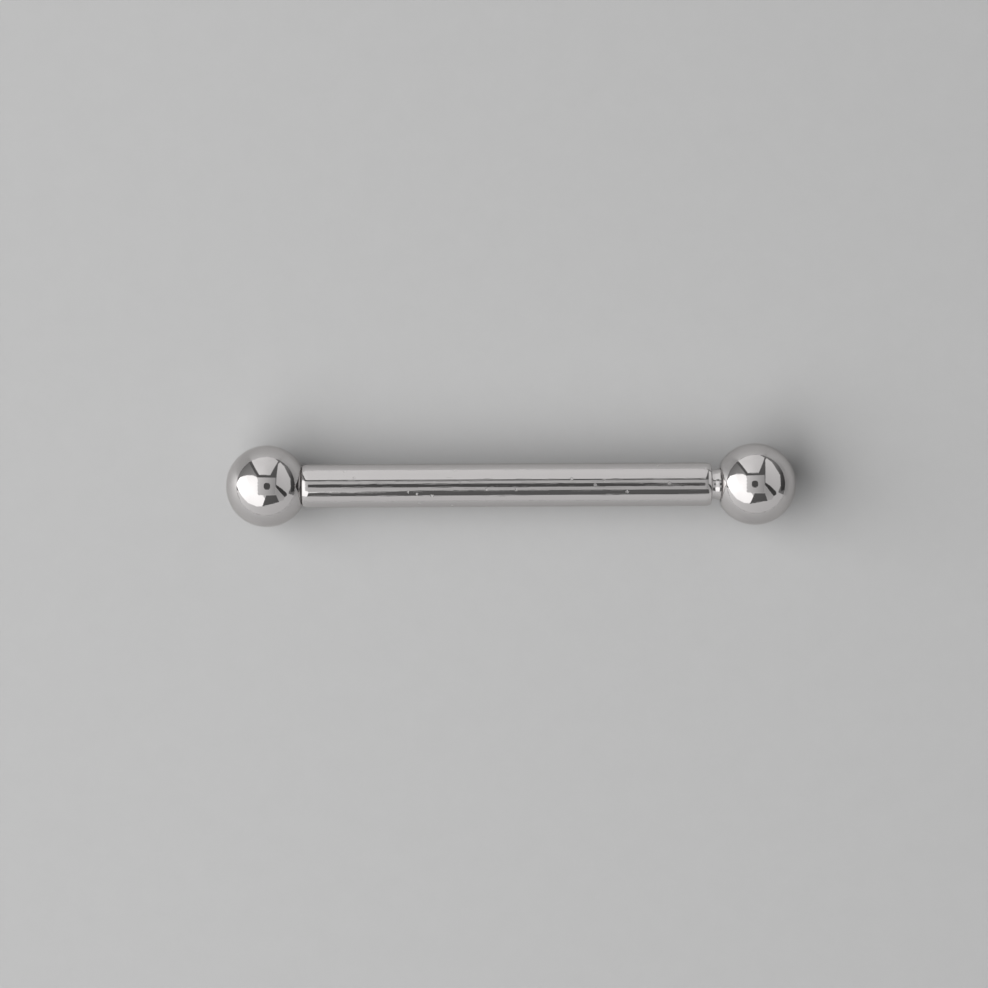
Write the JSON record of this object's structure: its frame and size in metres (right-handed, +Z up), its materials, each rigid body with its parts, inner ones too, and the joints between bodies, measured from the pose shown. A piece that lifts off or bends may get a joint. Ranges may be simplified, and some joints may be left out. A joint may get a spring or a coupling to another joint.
{
  "type": "straight barbell",
  "caption": "Straight barbell body jewel: a round polished rod with a ball screwed on a threaded stud at each end, one of them slightly unscrewed.",
  "frame": {"origin": "on the resting surface, under the middle of the barbell's length", "axes": "+X along the shaft towards the slightly unscrewed ball, +Z up from the surface it lies on"},
  "size_m": [0.0208, 0.003, 0.003],
  "materials": {
    "polished_steel": "mirror-polished steel with fine handling scratches"
  },
  "bodies": {
    "shaft": {"shaft": "polished_steel"},
    "left_ball": {"left_ball": "polished_steel"},
    "right_ball": {"right_ball": "polished_steel"}
  },
  "joints": [
    {"name": "left_ball_unscrew", "type": "slide", "parent": "shaft", "child": "left_ball", "axis": [-1, 0, 0], "range_m": [0, 0.016]},
    {"name": "right_ball_unscrew", "type": "slide", "parent": "shaft", "child": "right_ball", "axis": [1, 0, 0], "range_m": [-0.00032, 0.016]}
  ]
}
